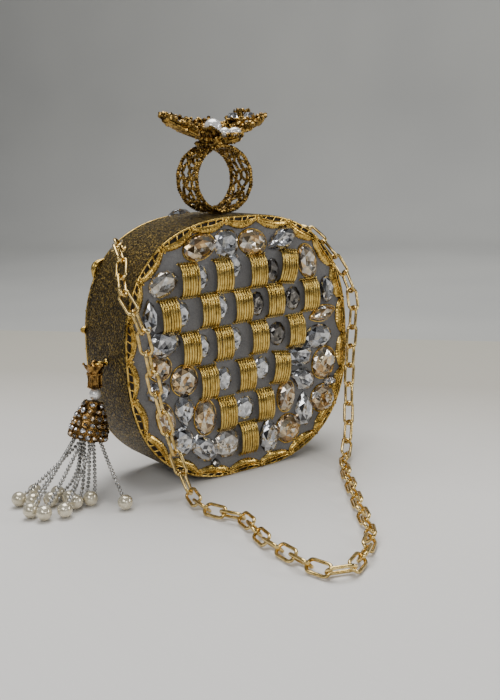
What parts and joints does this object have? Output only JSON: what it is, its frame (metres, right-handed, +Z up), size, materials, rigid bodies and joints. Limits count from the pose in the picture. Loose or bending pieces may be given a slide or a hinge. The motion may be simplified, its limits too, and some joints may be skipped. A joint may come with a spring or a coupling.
{
  "type": "clutch bag",
  "caption": "Round-cornered evening box clutch with jewelled faces, a filigree finger ring with a pearl flower, a link chain and a bead tassel.",
  "frame": {"origin": "middle of the flat foot, halfway between the two faces", "axes": "+X to the right seen from the jewelled front, +Y from the front to the hinged back panel, +Z up through the ring handle"},
  "size_m": [0.2171, 0.2075, 0.2057],
  "materials": {
    "board": "covered",
    "glitter_fabric": "metallic glitter",
    "lining_cloth": "satin",
    "felt": "matt",
    "gold": "polished gold plate",
    "antique_gold": "antique gold plate",
    "steel": "plain",
    "pearl": "pearl lustre",
    "seed_bead": "silver lined",
    "crystal": "cut, foil backed"
  },
  "bodies": {
    "box": {"box_frame": "board", "side_wrap": "glitter_fabric", "box_lining": "lining_cloth", "front_board": "board", "front_lining": "lining_cloth", "front_face": "felt", "front_border": "gold", "hinge_leaf_box": "steel", "hinge_pin": "steel", "magnet_box": "steel", "ring_band": "antique_gold", "ring_foot": "antique_gold", "ring_screw": "antique_gold", "ring_nut": "steel", "flower_petals": "antique_gold", "flower_pearl_large": "pearl", "flower_pearl_small": "pearl", "flower_pearl_oval": "pearl", "flower_crystal_1": "crystal", "flower_crystal_2": "crystal", "chain_eyelet_left": "gold", "chain_eyelet_right": "gold", "tassel_eyelet": "gold", "chain": "gold"},
    "lid": {"lid_board": "board", "lid_wrap": "glitter_fabric", "lid_lining": "lining_cloth", "lid_face": "felt", "lid_border": "gold", "magnet_lid": "steel", "hinge_leaf_lid": "steel"},
    "tassel": {"tassel_crown": "antique_gold", "tassel_pearl": "pearl", "tassel_cap": "antique_gold", "tassel_strand_01": "seed_bead", "tassel_strand_02": "seed_bead", "tassel_strand_03": "seed_bead", "tassel_strand_04": "seed_bead", "tassel_strand_05": "seed_bead", "tassel_strand_06": "seed_bead", "tassel_strand_07": "seed_bead", "tassel_strand_08": "seed_bead", "tassel_strand_09": "seed_bead", "tassel_strand_10": "seed_bead", "tassel_strand_11": "seed_bead", "tassel_strand_12": "seed_bead", "tassel_end_pearl_01": "pearl", "tassel_end_pearl_02": "pearl", "tassel_end_pearl_03": "pearl", "tassel_end_pearl_04": "pearl", "tassel_end_pearl_05": "pearl", "tassel_end_pearl_06": "pearl", "tassel_end_pearl_07": "pearl", "tassel_end_pearl_08": "pearl", "tassel_end_pearl_09": "pearl", "tassel_end_pearl_10": "pearl", "tassel_end_pearl_11": "pearl", "tassel_end_pearl_12": "pearl"}
  },
  "joints": [
    {"name": "lid_hinge", "type": "hinge", "parent": "box", "child": "lid", "pos_m": [0, 0.0229, 0.0019], "axis": [-1, 0, 0], "range_deg": [0, 60]},
    {"name": "tassel_swing", "type": "hinge", "parent": "box", "child": "tassel", "pos_m": [-0.08215, -0.001, 0.0729], "axis": [0, 1, 0], "range_deg": [0, 75]}
  ]
}
